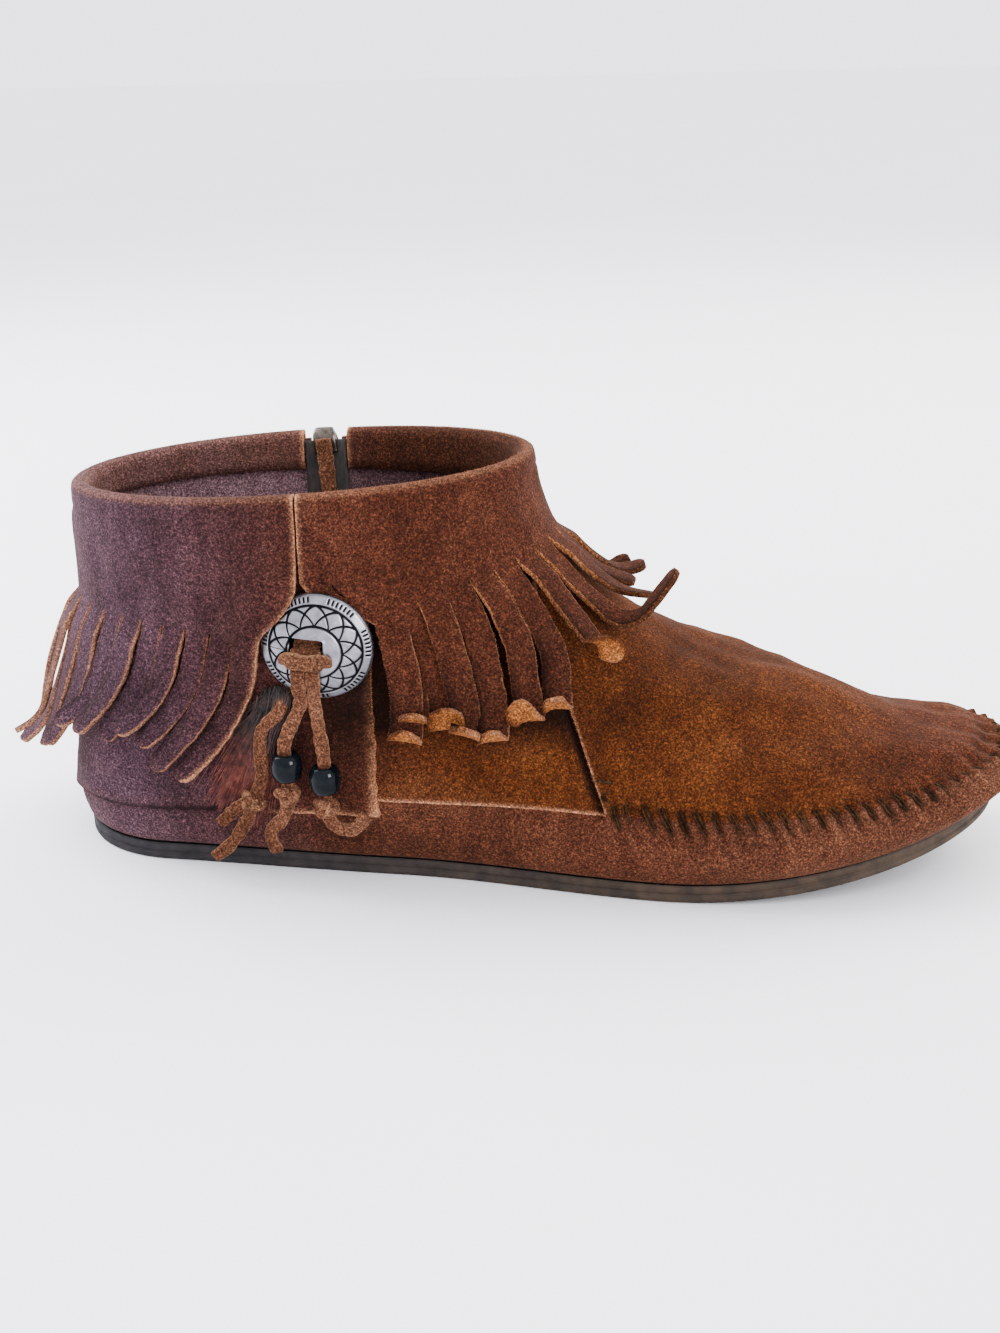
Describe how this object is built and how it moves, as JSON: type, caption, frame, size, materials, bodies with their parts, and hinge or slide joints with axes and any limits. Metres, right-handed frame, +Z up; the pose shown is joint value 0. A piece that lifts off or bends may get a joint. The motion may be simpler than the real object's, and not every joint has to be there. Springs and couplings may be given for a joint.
{
  "type": "moccasin ankle boot",
  "caption": "Fringed brown suede moccasin ankle boot for the right foot, with a silvery concho, beaded laces and feathers on its outer side and an inner side zip.",
  "frame": {"origin": "on the floor under the middle of the sole's length, on the flat of the outsole", "axes": "+X to the toe, +Y to the inner ankle, +Z up"},
  "size_m": [0.2762, 0.0914, 0.1074],
  "materials": {
    "suede": "napped brown suede",
    "sock": "matt lining leather",
    "lace": "suede lace",
    "rubber": "matt",
    "concho_metal": "antiqued silvery metal",
    "bead_glass": "glossy black",
    "feather": "soft reddish brown feather",
    "zip_tape": "woven tape",
    "zip_metal": "dark antique brass"
  },
  "bodies": {
    "root": {"outsole": "rubber", "insole": "sock", "upper": "suede", "cuff_front": "suede", "cuff_rear": "suede", "concho": "concho_metal", "concho_lace": "lace", "bead_front": "bead_glass", "bead_rear": "bead_glass", "lace_front": "lace", "lace_rear": "lace", "lace_long": "lace", "feather_front": "feather", "feather_rear": "feather", "zip_tape": "zip_tape", "zip_teeth": "zip_metal", "zip_slider": "zip_metal", "zip_pull": "lace"}
  },
  "joints": []
}
